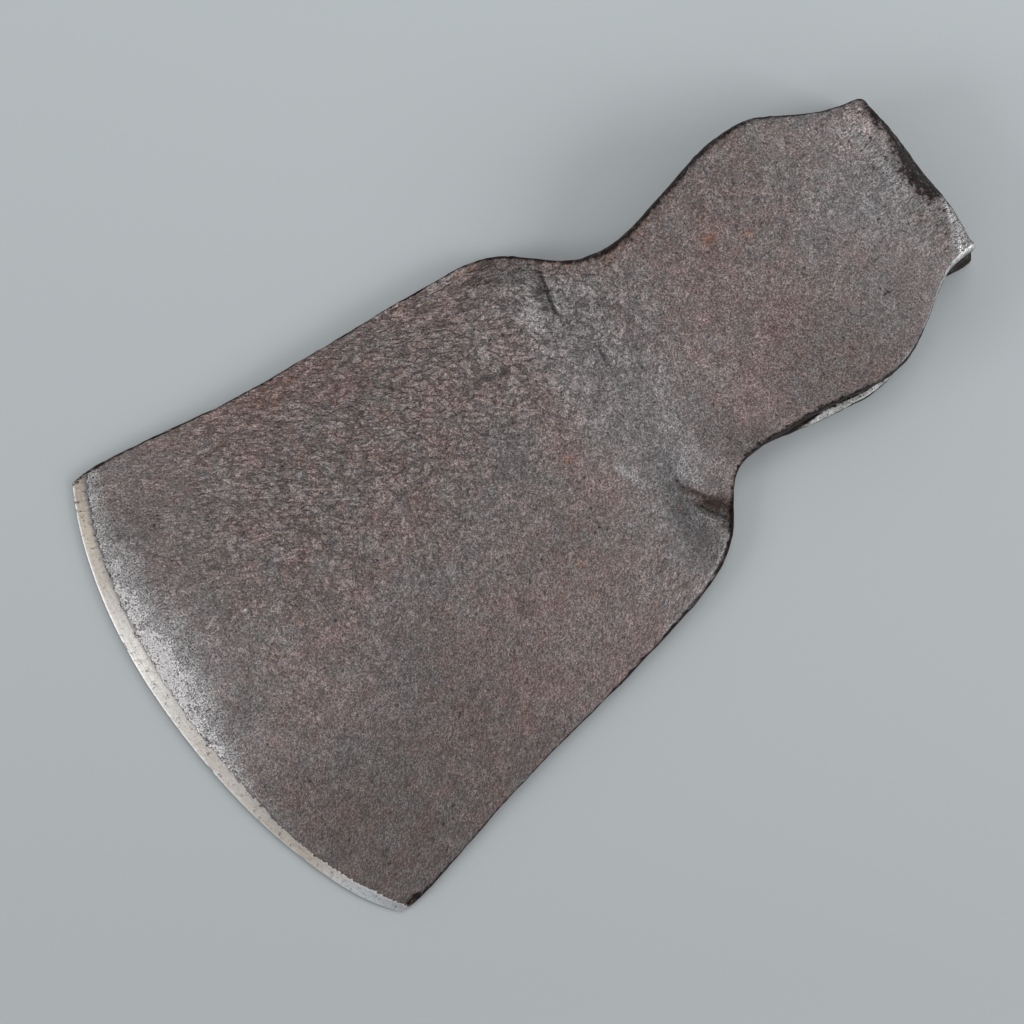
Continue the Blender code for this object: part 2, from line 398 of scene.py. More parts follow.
def stroke(along, across, line):
    """How strong a soft stroke is at each place.

    Its line is a list of (along, across, strength, width). With a second width, the first is
    for the side towards the cutting edge and the second for the side towards the poll.
    """
    strongest = np.zeros(len(along))
    ticks = np.linspace(0.0, len(line) - 1.0, STEPS)
    parts = [np.interp(ticks, np.arange(len(line)), part) for part in zip(*line)]
    for x, y, strength, *widths in zip(*parts):
        reach = np.where(along < x, widths[0], widths[-1])
        near = np.exp(-(((along - x) ** 2 + (across - y) ** 2) / reach**2))
        strongest = np.maximum(strongest, strength * near)
    return strongest


top_side = smooth_step(0.2, 0.6, upward)
pressed = np.zeros(len(along))
for line in GROOVES:
    pressed = np.maximum(pressed, stroke(along, across, line) * top_side)
move_points(head, np.outer(-pressed, (0.0, 0.0, 1.0)))
print("grooves down to", round(float(pressed.max()), 2), "mm")

# %% [markdown]
# ## Uneven flanks, nicks and the ground back
#
# The flanks were only hammered, so their outline wavers a little; a smooth noise moves their
# points in and out. The cutting edge has a few nicks from grit and nails, listed one by one.
# The back was laid on the stone, which took off every high spot: whatever hangs below the
# plane that it lies on is lifted to it.

# %% Waver the flanks
FLANK_WAVER = 0.22  # mm
FLANK_WAVE = 7.0  # mm
FLANK_THIN = 2.5  # the waves are this much shorter from the back to the top
FLANK_SUNK = 0.1  # mm: keeps the wavering flank inside the construction model
sideways = smooth_normals * (1.0, 1.0, 0.0)
waver_share = (1.0 - smooth_step(0.3, 0.9, abs(upward))) * smooth_step(6.0, 14.0, behind)
wavers = np.array([
    noise.noise(Vector(wave) / FLANK_WAVE) for wave in zip(along, across, FLANK_THIN * height)
])
waver = FLANK_WAVER * waver_share * wavers - FLANK_SUNK * waver_share
move_points(head, sideways * waver[:, None])
print("flanks waver by", round(float(np.ptp(waver)), 2), "mm")

# %% Nick the edge
NICKS = (  # (across, width, depth), in mm
    (70.4, 0.7, 0.15), (31.0, 0.8, 0.12), (-12.0, 0.9, 0.12), (-48.0, 1.0, 0.15),
)
at_edge = 1.0 - smooth_step(0.0, 1.5, behind)
pushed = np.zeros(len(along))
for place, width, depth in NICKS:
    pushed += depth * np.exp(-(((across - place) / width) ** 2)) * at_edge
move_points(head, np.outer(pushed, (1.0, 0.0, 0.0)))
print("nicked", len(NICKS), "times, up to", round(float(pushed.max()), 2), "mm deep")

# %% Grind the back flat
places = coordinates(head.data)
move_points(head, np.outer(np.maximum(-places[:, 2] / MM, 0.0), (0.0, 0.0, 1.0)))
print("lowest", round(float(coordinates(head.data)[:, 2].min()) / MM, 3), "mm")

# %% [markdown]
# ## What the surface remembers
#
# The finish needs to know a few things about each point that the shader can't work out alone:
# how far across the ground bevel it lies, how deep it sits in a crease, how much grime, rust and
# painted shade lie on it, how much wear and painted highlight it has, and whether its part of
# the head is light or dark, grey or red, which is partly painted light, shade and sheen. We store
# each as an attribute of the mesh. Painting them by hand on an image would need a UV map, and
# the seams of that map would show.

# %% Store the place on the bevel
def store(piece, name, values, kind="FLOAT", part="value"):
    """Keeps one value, or one vector, for each point of a piece as an attribute."""
    layer = piece.data.attributes.new(name, kind, "POINT")
    layer.data.foreach_set(part, np.asarray(values, np.float32).ravel())


BEVEL_WIDTHS = (  # across and width, in mm
    (-80.0, 1.8), (-74.0, 2.7), (-68.0, 3.5), (-60.0, 3.3), (-50.0, 2.95), (-40.0, 3.2),
    (-20.0, 4.2), (0.0, 4.4), (20.0, 4.6), (35.0, 4.9), (50.0, 4.6), (80.0, 4.4),
)
bevel_width = np.interp(across, *zip(*BEVEL_WIDTHS))
store(head, "bevel_place", np.clip(behind / bevel_width, 0.0, 2.0))
print("bevel", BEVEL_WIDTHS[0][1], "to", max(width for place, width in BEVEL_WIDTHS), "mm wide")

# %% [markdown]
# ## Dark lines, cracks and pits
#
# Dirt stays in the bottom of the folds and of a few cracks and pits that are finer than the
# mesh, and the steep walls of the folds are darkened as painted shade. They are strokes like the
# grooves, but they only darken. The attribute `crease_dirt_and_shade` adds them to the creases
# between the pebbles, which darken by their depth, as dirt and as painted shade. The brown fold
# of the right shoulder is partly rust and partly painted shade. `fold_place` holds each point's
# place in the bent rows of the skin, so that the finest grain can follow the rows too.

# %% Store the creases
# dark lines in the folds: dirt, and painted shade on their steep walls
DARK_LINES = (  # (along, across, strength, width)
    ((161.8, 43.8, 0.6, 0.6), (160.7, 40.0, 2.4, 0.5), (159.1, 35.5, 2.4, 0.5),
     (158.4, 32.0, 1.4, 0.5), (158.4, 30.0, 0.6, 0.5)),
    ((160.4, 43.0, 0.5, 1.5), (159.2, 39.2, 0.7, 1.5), (158.0, 35.6, 0.6, 1.1)),
    ((161.6, 18.6, 0.4, 0.5), (161.4, 14.5, 1.6, 0.5), (160.6, 9.0, 0.7, 0.5),
     (160.2, 2.0, 0.3, 0.6)),
    ((155.5, -15.0, 0.1, 0.8), (157.0, -23.0, 0.5, 0.7), (156.4, -29.5, 0.8, 0.6)),
    ((156.4, -29.5, 0.8, 0.6), (160.0, -35.5, 0.5, 0.6), (163.5, -39.8, 0.4, 0.6)),
    ((156.3, -35.5, 0.4, 0.5), (157.5, -37.5, 0.8, 0.5), (159.2, -41.2, 0.8, 0.5),
     (161.2, -45.0, 0.8, 0.6)),
)
MARKS = (  # cracks, pits and scratches
    ((11.8, 7.5, 0.8, 0.6), (11.1, 5.2, 1.6, 0.7), (10.5, 3.3, 1.6, 0.8), (9.2, 0.9, 0.9, 0.6)),
    ((18.4, 21.3, 0.7, 0.9), (16.7, 19.6, 1.0, 0.8), (16.1, 16.5, 0.7, 1.0)),
    ((49.3, 37.9, 0.7, 0.6), (49.6, 32.6, 0.5, 0.6), (48.8, 26.8, 0.3, 0.6),
     (48.5, 17.0, 0.7, 0.6)),
    ((84.1, -3.2, 0.8, 0.8), (85.9, -4.6, 1.4, 0.8), (87.8, -5.0, 0.8, 0.7)),
    ((107.1, 44.5, 0.8, 0.9), (109.0, 42.3, 0.9, 0.8), (110.5, 40.4, 0.5, 0.8)),
    ((127.4, 29.2, 0.8, 0.9), (131.0, 29.0, 1.0, 1.0), (136.1, 26.5, 0.8, 1.2)),
    ((100.1, -26.3, 0.7, 1.0), (98.6, -30.2, 0.8, 1.0)),
    ((91.1, 17.6, 0.7, 0.7), (93.2, 17.1, 0.7, 0.7)),
    ((71.4, 9.4, 0.8, 0.8), (73.3, 9.0, 0.8, 0.7)),
    ((85.4, 38.2, 0.8, 0.8), (86.3, 35.7, 0.7, 0.8)),
    ((92.9, -17.9, 0.6, 0.7), (94.6, -18.5, 0.6, 0.7)),
)
# the brown facet of the right fold: rust and painted shade
BROWN_FOLD = ((156.9, -31.0, 0.7, 1.0), (159.3, -37.0, 1.0, 2.2), (162.4, -42.5, 1.0, 3.2))
FOLD_MOUTH = (157.2, -36.9)  # the brown begins behind a line through this place,
FOLD_SLANT = 0.49  # which runs this much further back for each mm to the right


def strongest_of(lines):
    """The strongest of several strokes at each point."""
    return np.maximum.reduce([stroke(along, across, line) for line in lines])


dark_lines = strongest_of(DARK_LINES)
past_mouth = along - FOLD_MOUTH[0] - FOLD_SLANT * (FOLD_MOUTH[1] - across)
brown_fold = stroke(along, across, BROWN_FOLD) * smooth_step(-0.9, 0.3, past_mouth)
# darker by depth: dirt and painted shade in the creases between the pebbles
creases_dirt_and_shade = np.maximum(-raised, 0.0)
creases_dirt_and_shade += 0.30 * dark_lines + 0.22 * strongest_of(MARKS) + 0.42 * brown_fold
store(head, "crease_dirt_and_shade", creases_dirt_and_shade)
store(head, "wrinkled", np.clip(skin_share, 0.0, 1.0))
store(head, "fold_place", np.stack([bent, across, height], axis=1), "FLOAT_VECTOR", "vector")
print(len(DARK_LINES), "dark lines,", len(MARKS), "marks, deepest", round(float(creases_dirt_and_shade.max()), 2))

# %% [markdown]
# ## How far from the flanks
#
# Grime and wear follow the flanks, which have no formula. We walk along the head in short
# steps and note how far out the points of each step reach. On the right, the lower cheek of
# the eye shows past the upper one, so that side is measured twice: once for the upper face
# alone, and once for all that shows from above.

# %% Measure from the flanks, as seen from above
STEP = 1.5  # mm
CHEEK_START, CHEEK_FULL = 165.0, 185.0  # along, in mm: where the eye parts its two cheeks
UPPER_CHEEK = 13.0  # mm: the upper cheek lies above this height
stations = np.arange(0.0, length / MM + STEP, STEP)
nearest = np.clip((along / STEP).round().astype(int), 0, len(stations) - 1)


def flank_beside(reach):
    """How far out a flank lies beside each point, from how far out all points reach."""
    furthest = np.zeros(len(stations))
    np.maximum.at(furthest, nearest, reach)
    return np.interp(along, stations, furthest)


on_top = height > np.interp(along, (CHEEK_START, CHEEK_FULL), (0.0, UPPER_CHEEK))
left_gap = flank_beside(across) - across
right_gap = flank_beside(-across * on_top) + across
outer_gap = flank_beside(-across) + across
print("measured at", len(stations), "steps")

# %% [markdown]
# ## Dark rims
#
# Where hammer and hand never rub, oil and soot stay black, and the steep flanks are darkened as
# painted shade. Seen from above, the flanks are a dark rim of uneven width: broad round the neck
# and eye, thin along the blade. Each rim is a list of widths along the head. The flanks
# themselves are dark all over, partly soot and partly painted shade.

# %% Blacken the flanks
# a dark band on the right flank of the neck: soot and painted shade
NECK_SIDE = (  # (along, across, strength, width)
    (171.0, -35.4, 0.7, 0.9), (165.1, -41.8, 1.0, 0.9), (160.1, -48.4, 1.0, 1.0),
    (153.2, -53.9, 1.0, 0.9), (146.8, -56.1, 0.9, 0.9),
)
LEFT_BAND = (  # (along, width), in mm
    (0, 1.3), (15, 1.1), (40, 0.7), (110, 0.5), (144, 0.6), (154, 1.4), (175, 2.2),
    (192, 2.2), (204, 1.9), (232, 1.7), (248, 1.1), (264, 1.0),
)
RIGHT_BAND = (
    (0, 0.4), (17, 2.0), (24, 2.4), (29, 1.0), (40, 0.5), (100, 0.6), (130, 1.2),
    (160, 1.2), (185, 1.8), (220, 1.2), (235, 0.5), (245, 0.25), (264, 0.1),
)
LEFT_CORNER, RIGHT_CORNER = 66.0, -70.0  # across, in mm: the ends of the ground bevel
UNDERSIDE = -0.2  # a normal that falls more than this faces down
left_band = np.interp(along, *zip(*LEFT_BAND))
right_band = np.interp(along, *zip(*RIGHT_BAND))
left_rim = 1.0 - smooth_step(0.5, 1.3, left_gap / left_band)
right_rim = 1.0 - smooth_step(0.5, 1.3, right_gap / right_band)
rubbed_corner = (along > 236.0) & (across < -20.0)  # of the poll, whose rim is worn bright
steep = np.where(rubbed_corner, 0.2, 0.6)  # a flank's normal rises less than this
flank = 1.0 - smooth_step(0.5 * steep, steep, abs(upward))
neck_side = stroke(along, across, NECK_SIDE)
# the steep flanks are darkened all over, as soot and as painted shade
walls = np.maximum.reduce([left_rim, right_rim, 1.35 * flank, neck_side]) * (upward > UNDERSIDE)
left_corner = 0.9 * (across > LEFT_CORNER)
right_corner = (across < RIGHT_CORNER) * smooth_step(1.0, 1.4, behind / bevel_width)
walls *= np.maximum.reduce([off_bevel, left_corner, right_corner])
print("flanks", int((walls > 0.5).sum()), "points")

# %% [markdown]
# ## The poll's crescent and the lower cheek
#
# Where the end of the poll rolls over, a crescent is laid almost black. The inside of the eye
# and the gap beside the lower cheek are black too, as painted shade. The cheek's lip, which
# sticks out below the upper cheek, is pale: a painted highlight, partly worn by the hand that
# carries the tool.

# %% Blacken the poll, the eye and the cheek
CRESCENT = (  # (across, where along its inner line lies), in mm
    (-12.0, 262.5), (-9.7, 259.6), (-4.9, 258.2), (0.4, 257.6), (5.1, 259.0),
    (10.8, 260.4), (18.4, 260.9), (20.7, 260.7), (25.0, 261.5),
)
EYE_FLOOR = 4.8  # mm: the height of the lower cheek's inner face
LIP_FROM, LIP_TO = 190.0, 229.0  # along, in mm
crescent_start = np.interp(across, *zip(*CRESCENT))
crescent = smooth_step(-2.4, 1.6, along - crescent_start) * (height > 8.0)
crescent *= smooth_step(-10.5, -7.5, across)
# painted shade inside the eye and on its inner floor
inside_eye = (upward < UNDERSIDE) & (height > 4.0)
eye_floor = (upward > 0.98) & (abs(height - EYE_FLOOR) < 0.25) & (along > LIP_FROM)
folds = 0.5 * dark_lines * (across < 0.0)
# the lower cheek where it shows past the upper one: painted shade of the eye's opening, with its
# lip left pale
on_cheek = (right_gap < 0.0) & (height < CHEEK_TOP) & (along > LIP_FROM) & (along < LIP_TO)
overhang = np.clip(outer_gap - right_gap, 0.0, 3.0)
lip_width = (0.4 + 0.65 * overhang) * smooth_step(184.0, 204.0, along)
# painted highlight on the lip of the lower cheek, partly wear
lit_cheek_lip = smooth_step(0.1, 0.4, outer_gap)
lit_cheek_lip *= smooth_step(lip_width + 0.2, lip_width - 0.2, outer_gap)
lit_cheek_lip *= on_cheek * smooth_step(0.1, 0.5, upward)
lit_cheek_lip *= smooth_step(LIP_FROM, 197.0, along) * smooth_step(LIP_TO, 221.0, along)
# dirt and painted shade together: soot and shade on the flanks and in the folds, shade inside the
# eye and beside the lower cheek
grime_and_shade = np.maximum.reduce([
    walls, 1.2 * crescent, folds, 0.8 * (inside_eye | eye_floor), 1.3 * on_cheek,
])
grime_and_shade = np.where(on_cheek, grime_and_shade * (1.0 - lit_cheek_lip), grime_and_shade)
store(head, "grime_and_shade", grime_and_shade)
print("grimy points", int((grime_and_shade > 0.5).sum()))

# %% [markdown]
# ## Rubbed places and painted highlights
#
# Hands, wood and the file have rubbed the high spots: on the corner of the poll and along the
# shoulders. Behind the left fold and on the step of the right one, the bright strokes are partly
# rubbed and partly painted highlights on slopes that face the light. The small spots are bare
# chips and partly painted glints. These are listed strokes and small spots.

# %% Rub the high spots and paint highlights
def blob(along, across, x, y, size):
    """A soft round spot, 1 in its middle."""
    return np.exp(-((along - x) ** 2 + (across - y) ** 2) / size**2)


# the first stroke, behind the left fold, and the fifth, on the step of the right fold, are painted
# highlights on slopes that face the light, partly rubbed
RUBBED_AND_LIT = (  # (along, across, strength, width)
    ((156.0, 41.5, 0.5, 1.8), (153.8, 37.0, 0.62, 2.8), (152.2, 32.0, 0.6, 3.6)),
    ((262.0, -10.0, 1.1, 0.9), (261.4, -15.0, 1.2, 1.5), (260.2, -20.0, 1.2, 2.4),
     (258.6, -23.0, 1.2, 3.0)),
    ((262.0, -25.4, 3.0, 0.8), (258.0, -25.6, 3.0, 0.7), (254.0, -25.8, 2.4, 0.6),
     (250.0, -27.0, 1.6, 0.6), (243.0, -31.0, 1.0, 0.6), (232.0, -37.5, 0.7, 0.7)),
    ((254.0, 22.0, 0.5, 3.0), (254.5, 10.0, 0.55, 3.0), (253.5, 0.0, 0.5, 3.0),
     (256.0, -8.0, 0.5, 2.0)),
    ((155.5, -38.7, 1.0, 0.6), (157.2, -41.8, 0.6, 0.6), (159.6, -45.4, 0.6, 0.6)),
    ((137.9, 57.8, 0.8, 0.8), (144.3, 58.2, 0.7, 0.8), (149.4, 56.4, 0.4, 0.7)),
    ((145.5, -15.0, 0.65, 2.0), (147.0, -18.5, 0.75, 2.2), (147.5, -23.0, 0.65, 2.0)),
)
# bare chips, partly painted glints
SPECKS_AND_GLINTS = (  # (along, across) of small bare chips
    (32.3, 43.0), (19.0, 25.8), (32.2, 18.6), (32.8, 14.5), (36.4, 18.3), (72.2, 39.4),
)
SPECK_SIZE = 0.75  # mm
strokes = strongest_of(RUBBED_AND_LIT)
specks_and_glints = np.maximum.reduce([1.3 * blob(along, across, x, y, SPECK_SIZE) for x, y in SPECKS_AND_GLINTS])
print(len(RUBBED_AND_LIT), "rubbed strokes and", len(SPECKS_AND_GLINTS), "specks_and_glints")

# %% [markdown]
# ## The worn zone behind the bevel
#
# Years of honing and of sliding over the wood wore the skin away behind the bevel, most of all
# left of the middle, where the tool bites. The zone fades backwards, and patches of skin are
# left in it. Weaker wear lies along the right shoulder. Across the neck and near the poll the
# same map holds a painted sheen, where the slopes face the light.

# %% Wear the blade
WORN = (  # (across in mm, how much, how far behind the bevel in mm)
    (-80.0, 0.0, 0.5), (-48.0, 0.1, 0.8), (-40.0, 0.5, 1.5), (-30.0, 0.3, 2.2),
    (-20.0, 0.6, 4.5), (-10.0, 1.3, 7.0), (0.0, 1.5, 8.5), (10.0, 1.9, 10.5),
    (20.0, 2.4, 10.5), (30.0, 2.0, 8.5), (40.0, 1.3, 9.0), (50.0, 1.1, 9.5),
    (57.0, 1.0, 7.5), (65.0, 0.9, 5.5), (80.0, 0.9, 6.0),
)
KEPT_SKIN = (  # (along, across, strength, width)
    ((14.6, 19.2, 0.60, 2.4), (18.0, 18.2, 0.50, 2.4)),
    ((10.0, -6.0, 0.45, 2.6), (14.6, -4.7, 0.40, 3.0), (20.0, -2.0, 0.40, 4.0)),
)
worn_across, worn_much, worn_far = zip(*WORN)
worn_most = np.interp(across, worn_across, worn_much)
worn_reach = np.interp(across, worn_across, worn_far)
past_bevel = np.maximum(behind - bevel_width, 0.0)
worn_blade = worn_most * np.exp(-((past_bevel / worn_reach) ** 1.6))
worn_blade *= 1.0 - strongest_of(KEPT_SKIN)
speckled = 0.37 * worn_most * np.exp(-((past_bevel / (1.9 * worn_reach)) ** 2))
print("worn up to", round(float(worn_blade.max()), 2))

# %% Wear the right flank, and paint sheen on the neck and the poll
SHOULDER, NECK = 154.0, 158.0  # along, in mm
EDGE_FROM = 125.0  # along: the rubbed line beside the right rim starts here,
EYE_FROM, EYE_TO = 164.0, 228.0  # and is faint from here to here, beside the eye
by_shoulder = smooth_step(8.0, 4.0, abs(along - SHOULDER))
right_edge = np.exp(-(((right_gap - right_band - 0.3 - 0.5 * by_shoulder) / 0.6) ** 2))
right_edge *= (along > EDGE_FROM) * (0.7 + 0.5 * by_shoulder)
right_edge *= 1.0 - 0.8 * smooth_step(EYE_FROM, 170.0, along) * smooth_step(EYE_TO, 220.0, along)
# painted sheen across the neck, whose slope faces the light
neck_sheen = 0.38 * np.exp(-(((along - NECK) / 22.0) ** 2))
# painted sheen near the poll
poll_sheen = 0.30 * smooth_step(205.0, 250.0, along)
behind_worn = 0.30 * np.exp(-((behind / 40.0) ** 2)) * smooth_step(-40.0, 40.0, across)
rubbed_and_lit = np.maximum.reduce([
    strokes, specks_and_glints, worn_blade * (upward > 0.5), speckled,
    right_edge, neck_sheen, poll_sheen, behind_worn,
])
# painted highlight on the lip of the lower cheek, partly wear
rubbed_and_lit = np.where(on_cheek, 1.7 * lit_cheek_lip, rubbed_and_lit)
# wear together with painted highlights and sheen
store(head, "rubbed_and_lit", rubbed_and_lit * (upward > 0.2))
print("rubbed points", int((rubbed_and_lit > 0.5).sum()))

# %% [markdown]
# ## Where it rusts
#
# A few orange spots are listed. Rust also sits in the creases near the left flank, in
# the brown fold of the right shoulder, and beside the left flank of the neck.

# %% Store the rust
RUST = (  # (along, across, radius), in mm
    (203.7, 21.2, 1.7), (213.6, 15.6, 0.9), (135.6, -4.0, 1.3), (151.8, -34.0, 0.8),
    (46.9, 6.6, 0.7), (120.0, -30.0, 1.0),
)
rust = 1.2 * sum(blob(along, across, x, y, size) for x, y, size in RUST)
near_left_flank = np.exp(-((left_gap / 20.0) ** 2)) * smooth_step(20.0, 60.0, along)
weaker = 0.7 * smooth_step(90.0, 120.0, along)  # towards the shoulder
gone = 0.3 * smooth_step(150.0, 190.0, along)  # on the eye
near_left_flank *= 1.0 - weaker - gone
neck_flank = np.exp(-((left_gap / 5.0) ** 2)) * smooth_step(135.0, 145.0, along)
neck_flank *= 1.0 - smooth_step(185.0, 205.0, along)
rust += 2.8 * creases_dirt_and_shade * near_left_flank + 1.1 * brown_fold + 0.5 * neck_flank
store(head, "rust", np.clip(rust, 0.0, 1.0))
print(len(RUST), "spots of rust")

# %% [markdown]
# ## Broad light and dark areas
#
# Broad parts of the skin are lighter or darker, partly from soot, oil and handling and partly as
# painted light and shade. The attribute `tone_and_shade` is 1 on the plain skin. A few formulas
# follow the shape of the head. They make it darker on the right half of the blade, beside the eye
# and beside the left flank of the neck, and lighter across the neck, as painted light on its
# slope, which faces the lamps. Strokes add what has no rule: painted shade in the valley at the
# foot of the neck, round the left fold and on the tip of the poll's left corner, a painted
# highlight on the slope behind the left fold, and lighter and darker patches elsewhere, as at
# the left corner of the poll.

# %% Tone of the large parts, with painted light and shade
lower_blade = smooth_step(-15.0, -40.0, across) * smooth_step(110.0, 65.0, along)
lower_front = smooth_step(-40.0, -55.0, across) * smooth_step(40.0, 10.0, behind)
# painted light: the neck is lighter where its slope faces the lamps
neck_glow = np.exp(-(((along - 175.0) / 22.0) ** 2))
eye_side = smooth_step(0.0, -25.0, across) * smooth_step(182.0, 200.0, along)
eye_side *= 1.0 - smooth_step(235.0, 255.0, along)
tone_and_shade = 1.0 - 0.30 * lower_blade - 0.08 * lower_front + 0.25 * neck_glow - 0.19 * eye_side
tone_and_shade -= 0.38 * neck_flank
# painted shade on the very tip of the poll's left corner
tone_and_shade -= 0.55 * blob(along, across, 262.5, 23.5, 3.6)  # the very tip of the poll's left corner
# painted highlight on the slope behind the left fold, which faces the light
SHOULDER_HIGHLIGHT = ((155.5, 40.0, 1.0, 2.4), (152.3, 31.0, 1.0, 3.6))
tone_and_shade += 0.22 * stroke(along, across, SHOULDER_HIGHLIGHT)
print("tone from", round(float(tone_and_shade.min()), 2), "to", round(float(tone_and_shade.max()), 2))

# %% Darker and lighter strokes
# darker strokes, partly painted shade in the valley at the foot of the neck and round the left
# fold; the rest are darker patches of the skin
DARKER_AND_SHADED = (  # (along, across, amount, width)
    ((158.8, 25.0, 0.32, 4.0), (159.4, 9.0, 0.26, 4.5), (158.2, -3.0, 0.32, 5.0),
     (154.8, -15.0, 0.30, 5.0), (153.6, -26.0, 0.44, 5.0), (154.0, -32.0, 0.72, 4.5),
     (153.2, -39.0, 0.66, 6.0), (152.0, -48.0, 0.72, 6.0)),
    ((142.0, 50.0, 0.24, 5.0), (150.5, 50.5, 0.56, 4.5), (158.3, 46.5, 0.70, 3.5)),
    ((172.5, -17.0, 0.26, 5.0), (174.0, -26.0, 0.42, 6.0), (180.5, -31.0, 0.46, 5.0)),
    ((62.0, -20.0, 0.20, 8.0), (75.0, -18.5, 0.22, 8.0)),
    ((128.0, -26.0, 0.14, 7.0), (110.0, -21.0, 0.14, 7.0)),
    ((15.6, 18.6, 0.40, 2.6), (17.5, 17.5, 0.25, 2.6)),
    ((12.0, -5.5, 0.22, 3.6), (19.5, -2.5, 0.26, 4.0)),
    ((25.7, 58.9, 0.24, 6.0), (24.0, 52.0, 0.15, 6.0)),
)
# lighter strokes, partly painted light on the slope of the neck; the rest are lighter patches of
# the skin
LIGHTER_AND_LIT = (
    ((257.0, 23.0, 0.62, 4.0), (257.6, 16.0, 0.50, 4.0), (251.5, 19.0, 0.46, 5.0)),
    ((124.0, 60.0, 0.30, 3.5), (136.0, 58.5, 0.12, 3.5), (144.0, 56.5, 0.45, 3.0)),
    ((174.0, 1.0, 0.22, 3.5), (168.5, -8.0, 0.16, 3.0), (165.0, -20.0, 0.10, 3.0),
     (163.0, -30.0, 0.10, 3.0)),
    ((96.4, 33.3, 0.20, 6.0), (98.0, 30.0, 0.16, 6.0)),
    ((131.0, 31.7, 0.18, 5.0), (129.0, 33.0, 0.14, 5.0)),
    ((15.2, 7.5, 0.26, 2.6), (14.6, 4.5, 0.26, 2.6)),
)
tone_and_shade -= strongest_of(DARKER_AND_SHADED)
tone_and_shade += strongest_of(LIGHTER_AND_LIT)
# the tone of the skin together with painted light and shade
store(head, "tone_and_shade", tone_and_shade)
print(len(DARKER_AND_SHADED), "darker and", len(LIGHTER_AND_LIT), "lighter strokes")

# %% [markdown]
# ## Grey and red areas
#
# The iron is a cold grey where mill scale is left, as on the blade, and reddish where it rusted,
# as along the line of the shoulders and the left flank. Across the neck and on the poll the grey
# is a painted bluish sheen, where the slopes reflect the light. Two more attributes hold these
# areas, and a third holds the part of the poll that was brushed.

# %% Store the grey and the red areas
GREY_AND_SHEEN = (  # (along, across, strength, width)
    # painted sheen: the first line, across the neck, and the second, on the poll; the third is grey
    # scale on the blade
    ((159.5, 36.0, 0.8, 9.0), (162.5, 13.0, 0.68, 12.0), (161.3, -4.0, 0.7, 12.0),
     (159.0, -23.0, 0.85, 9.0), (153.0, -38.0, 0.9, 8.0)),
    ((246.0, 3.5, 0.9, 14.0), (232.0, 7.0, 0.6, 10.0)),
    ((127.0, 6.5, 0.6, 7.0), (95.0, -8.0, 0.5, 7.0), (68.0, -8.0, 0.5, 9.0),
     (55.0, -33.0, 0.5, 8.0), (28.0, -31.0, 0.5, 8.0)),
)
REDDER = (
    ((141.6, 35.0, 0.7, 4.0), (139.4, 14.6, 0.8, 4.0), (136.3, -5.0, 1.0, 5.0),
     (136.5, -23.5, 0.8, 5.0)),
    ((68.8, -45.0, 0.6, 12.0), (105.0, -38.0, 0.5, 11.0), (126.0, -42.0, 0.5, 10.0)),
    ((120.0, -55.0, 0.4, 8.0), (83.0, -50.0, 0.5, 10.0)),
    ((206.8, 21.6, 0.7, 7.0), (194.7, 15.0, 0.7, 7.0)),
    ((209.0, -5.5, 0.7, 8.0), (184.8, -24.4, 0.8, 7.0)),
    ((23.0, -47.0, 0.6, 5.0), (15.0, -33.0, 0.6, 4.0)),
    ((50.0, 68.0, 0.5, 5.0), (69.0, 65.0, 0.9, 5.0), (92.0, 61.5, 0.9, 5.0)),
)
for name, lines in (("grey_and_sheen", GREY_AND_SHEEN), ("redder", REDDER)):
    store(head, name, strongest_of(lines))
store(head, "streaked", smooth_step(243.0, 257.0, along) * (height > 8.0))
print(len(GREY_AND_SHEEN), "grey and", len(REDDER), "red areas")

# %% [markdown]
# ## One piece in place of the solid
#
# The head is one forging, so it is one piece. It rides on the body that doesn't move, and
# stands for the construction solid, which is then hidden.

# %% Tell the frame about the piece
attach(head, "root")
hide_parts("axe_head")

# %% [markdown]
# ## Forged iron
#
# The head is wrought iron that came black from the forge, rusted, and was rubbed and oiled
# until it kept a dry brown-grey skin. Rust is not a metal, so the skin scatters light like a
# dull paint. The black scale has a sheen, and where the skin is rubbed through, steel shows.

# %% Helpers for materials
def colour(code):
    """An sRGB hex colour as the linear colour that Blender wants."""
    parts = [int(code[i : i + 2], 16) / 255 for i in (1, 3, 5)]
    return [p / 12.92 if p <= 0.04045 else ((p + 0.055) / 1.055) ** 2.4 for p in parts] + [1.0]


def add_node(tree, kind, inputs=None, output=0, **settings):
    """Adds a node and gives back one output. An input gets a value, or a link from an output."""
    node = tree.nodes.new("ShaderNode" + kind)
    for name, value in settings.items():
        setattr(node, name, value)
    for name, value in (inputs or {}).items():
        if isinstance(value, bpy.types.NodeSocket):
            tree.links.new(value, node.inputs[name])
        else:
            node.inputs[name].default_value = value
    return node.outputs[output]


# %% [markdown]
# ## Places and maps
#
# A pattern needs places to be drawn at. Object coordinates in millimetres serve for most, and
# the bent rows of the skin for the rest. The attributes that we stored come in here too.

# %% Start the material
iron = bpy.data.materials.new("oiled_wrought_iron_skin")
iron.use_nodes = True
tree = iron.node_tree
shader = tree.nodes["Principled BSDF"]
place = add_node(tree, "TexCoord", output="Object")
in_mm = add_node(tree, "Mapping", {"Vector": place, "Scale": [1.0 / MM] * 3})
in_folds = add_node(tree, "Attribute", output="Vector", attribute_name="fold_place")
MAPS = (
    "bevel_place", "crease_dirt_and_shade", "wrinkled", "grime_and_shade", "rubbed_and_lit", "rust", "tone_and_shade", "streaked",
    "grey_and_sheen", "redder",
)
maps = {name: add_node(tree, "Attribute", output="Fac", attribute_name=name) for name in MAPS}
print("material reads", len(maps), "maps")

